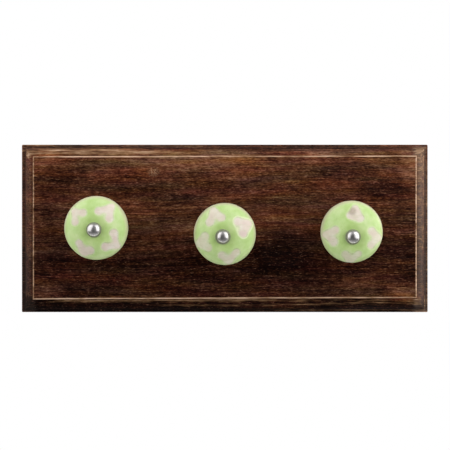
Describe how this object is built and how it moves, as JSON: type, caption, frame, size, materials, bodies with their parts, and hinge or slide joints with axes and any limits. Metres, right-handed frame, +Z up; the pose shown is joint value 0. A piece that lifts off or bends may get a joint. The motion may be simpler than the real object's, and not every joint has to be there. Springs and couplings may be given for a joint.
{
  "type": "wall knob rack",
  "caption": "Dark stained wooden wall rack with a moulded edge and light green glazed ceramic knobs on through bolts, for hanging coats, bags or keys; hangs on keyhole plates.",
  "frame": {"origin": "on the wall plane, midway between the seats of the two wall screws in the keyhole plates", "axes": "+Y from the front into the wall, square to the back; +X along the board's length, to the right of a person facing it; +Z up"},
  "size_m": [0.254, 0.0535, 0.1048],
  "materials": {
    "stained_wood": "dark walnut stain, satin, worn through along the edges",
    "green_glaze": "glossy light green glaze with off-white hearts",
    "polished_steel": "polished, nickel plated",
    "zinc_steel": "dull zinc plating",
    "dark_rubber": "matte black rubber"
  },
  "bodies": {
    "rack": {"board": "stained_wood", "bolt_left": "polished_steel", "bolt_middle": "polished_steel", "bolt_right": "polished_steel", "front_washer_left": "dark_rubber", "front_washer_middle": "dark_rubber", "front_washer_right": "dark_rubber", "rear_gasket_left": "dark_rubber", "rear_gasket_middle": "dark_rubber", "rear_gasket_right": "dark_rubber", "ferrule_left": "polished_steel", "ferrule_middle": "polished_steel", "ferrule_right": "polished_steel", "back_washer_left": "zinc_steel", "back_washer_middle": "zinc_steel", "back_washer_right": "zinc_steel", "hex_nut_left": "zinc_steel", "hex_nut_middle": "zinc_steel", "hex_nut_right": "zinc_steel", "hanger_plate_left": "zinc_steel", "hanger_plate_right": "zinc_steel", "plate_screw_left_top": "zinc_steel", "plate_screw_left_bottom": "zinc_steel", "plate_screw_right_top": "zinc_steel", "plate_screw_right_bottom": "zinc_steel"},
    "knob_left": {"knob_left": "green_glaze"},
    "knob_middle": {"knob_middle": "green_glaze"},
    "knob_right": {"knob_right": "green_glaze"}
  },
  "joints": [
    {"name": "knob_left_turn", "type": "hinge", "parent": "rack", "child": "knob_left", "pos_m": [-0.0782, -0.037, -0.03075], "axis": [0, -1, 0], "continuous": true},
    {"name": "knob_middle_turn", "type": "hinge", "parent": "rack", "child": "knob_middle", "pos_m": [-0.0011, -0.037, -0.0349], "axis": [0, -1, 0], "continuous": true},
    {"name": "knob_right_turn", "type": "hinge", "parent": "rack", "child": "knob_right", "pos_m": [0.0766, -0.037, -0.035], "axis": [0, -1, 0], "continuous": true}
  ]
}
